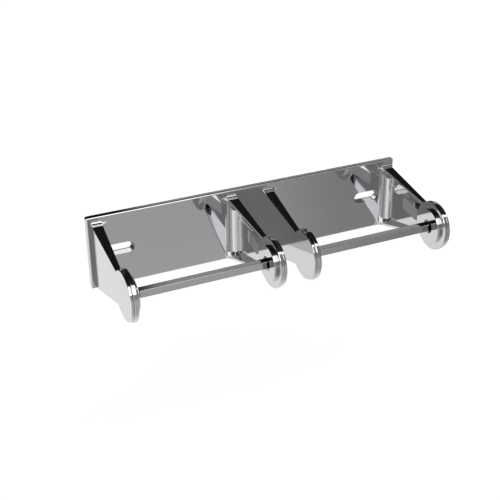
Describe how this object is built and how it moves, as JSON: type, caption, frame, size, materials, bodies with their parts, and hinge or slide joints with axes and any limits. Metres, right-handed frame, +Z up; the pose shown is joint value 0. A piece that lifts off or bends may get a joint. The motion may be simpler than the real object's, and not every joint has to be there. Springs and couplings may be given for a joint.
{
  "type": "toilet roll holder",
  "caption": "Wall-mounted double toilet roll holder: a slotted back pan, cast arms with round ends, and a sprung square bar across each bay.",
  "frame": {"origin": "on the wall, at the back of the plate, midway between its two screw slots", "axes": "+X along the wall to the right as seen from the room, +Y into the wall, +Z up"},
  "size_m": [0.312, 0.1116, 0.071],
  "materials": {
    "plate_chrome": "polished",
    "cast_chrome": "polished",
    "hub_chrome": "polished",
    "bar_chrome": "polished",
    "zinc_steel": "satin",
    "pin_steel": "satin",
    "spring_steel": "satin"
  },
  "bodies": {
    "holder": {"back_plate": "plate_chrome", "arm_1": "cast_chrome", "arm_2": "cast_chrome", "arm_3": "cast_chrome", "arm_4": "cast_chrome", "hub_1": "hub_chrome", "hub_2": "hub_chrome", "hub_3": "hub_chrome", "hub_4": "hub_chrome", "arm_screws": "zinc_steel", "arm_washers": "zinc_steel"},
    "left_bar": {"left_sleeve": "bar_chrome", "left_fixed_end": "pin_steel", "left_spring": "spring_steel", "left_stop_pin": "pin_steel"},
    "left_sprung_end": {"left_sprung_end": "pin_steel"},
    "right_bar": {"right_sleeve": "bar_chrome", "right_fixed_end": "pin_steel", "right_spring": "spring_steel", "right_stop_pin": "pin_steel"},
    "right_sprung_end": {"right_sprung_end": "pin_steel"}
  },
  "joints": [
    {"name": "left_bar_turn", "type": "hinge", "parent": "holder", "child": "left_bar", "pos_m": [-0.08275, -0.0886, 0.0026], "axis": [1, 0, 0], "continuous": true},
    {"name": "left_sprung_end_slide", "type": "slide", "parent": "left_bar", "child": "left_sprung_end", "axis": [1, 0, 0], "range_m": [0, 0.0072], "stiffness_N_per_m": 400, "springref_m": -0.012, "deforming": ["left_spring"]},
    {"name": "right_bar_turn", "type": "hinge", "parent": "holder", "child": "right_bar", "pos_m": [0.08275, -0.0886, 0.0026], "axis": [1, 0, 0], "continuous": true},
    {"name": "right_sprung_end_slide", "type": "slide", "parent": "right_bar", "child": "right_sprung_end", "axis": [1, 0, 0], "range_m": [0, 0.0072], "stiffness_N_per_m": 400, "springref_m": -0.012, "deforming": ["right_spring"]}
  ]
}
